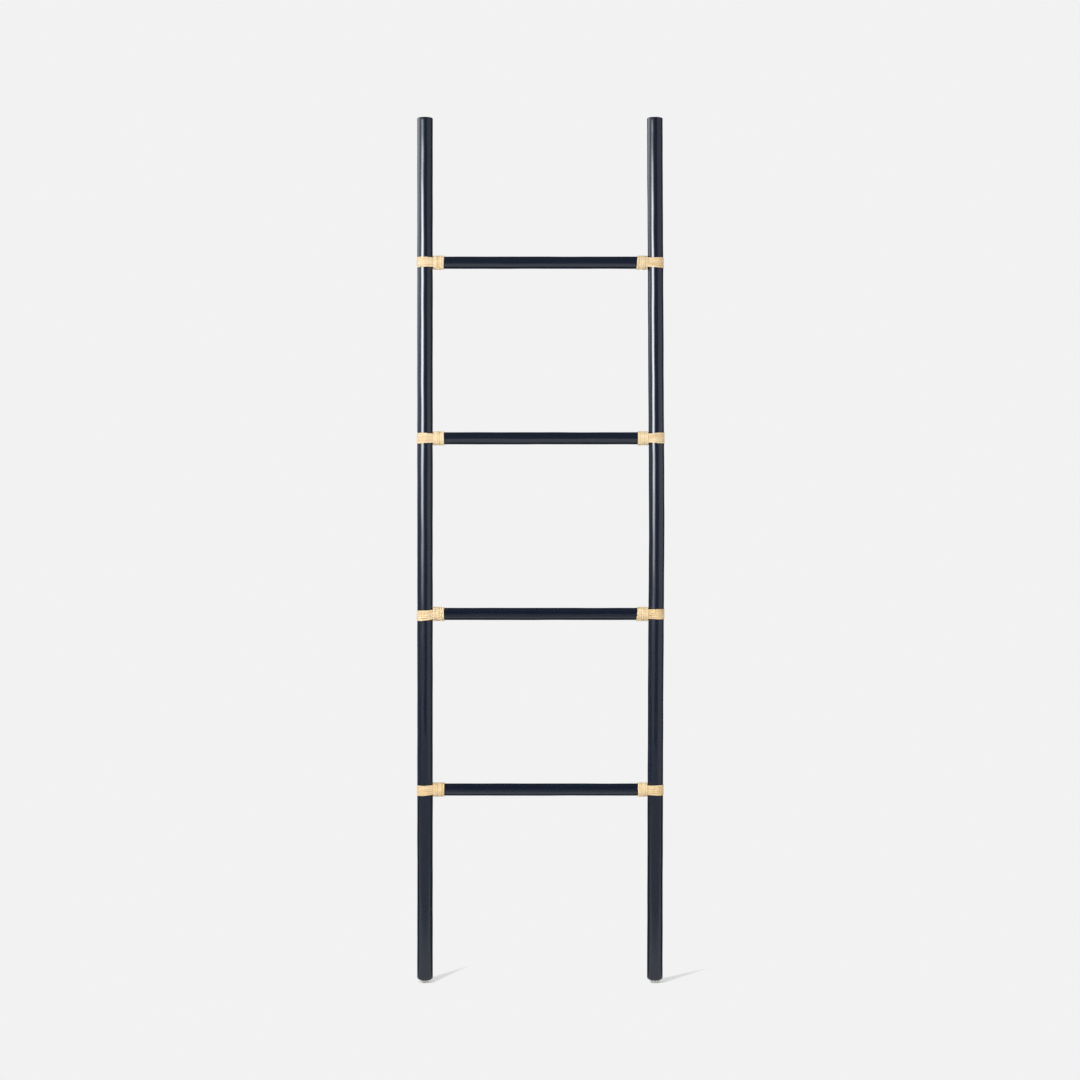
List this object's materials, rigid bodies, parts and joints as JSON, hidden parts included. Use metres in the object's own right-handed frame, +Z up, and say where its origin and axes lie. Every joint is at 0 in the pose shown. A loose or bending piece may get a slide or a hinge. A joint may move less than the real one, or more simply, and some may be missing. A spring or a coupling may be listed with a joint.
{
  "type": "leaning towel rack",
  "caption": "Leaning ladder rack for towels: dark lacquered rattan poles with round rungs, joints bound in natural rattan peel, on small domed glides.",
  "frame": {"origin": "on the floor, at the middle of the box of the whole rack, between the two foot glides", "axes": "+Z up along the stiles, +X along the rungs from the left stile to the right one, -Y the front, +Y the wall side"},
  "size_m": [0.509, 0.034, 1.775],
  "materials": {
    "lacquered_rattan": "glossy blue-black lacquer over smooth rattan pole",
    "rattan_peel": "natural peel, satin, with fine fibres along the strip",
    "glide_plastic": "clear slightly milky moulded plastic",
    "steel": "bright zinc plated"
  },
  "bodies": {
    "root": {"stile_left": "lacquered_rattan", "stile_right": "lacquered_rattan", "rung_bottom": "lacquered_rattan", "rung_lower": "lacquered_rattan", "rung_upper": "lacquered_rattan", "rung_top": "lacquered_rattan", "strap_left_bottom": "rattan_peel", "strap_left_lower": "rattan_peel", "strap_left_upper": "rattan_peel", "strap_left_top": "rattan_peel", "strap_right_bottom": "rattan_peel", "strap_right_lower": "rattan_peel", "strap_right_upper": "rattan_peel", "strap_right_top": "rattan_peel", "collar_left_bottom": "rattan_peel", "collar_left_lower": "rattan_peel", "collar_left_upper": "rattan_peel", "collar_left_top": "rattan_peel", "collar_right_bottom": "rattan_peel", "collar_right_lower": "rattan_peel", "collar_right_upper": "rattan_peel", "collar_right_top": "rattan_peel", "glide_left": "glide_plastic", "glide_right": "glide_plastic", "joint_screws": "steel", "binding_tacks": "steel", "glide_nails": "steel"}
  },
  "joints": []
}
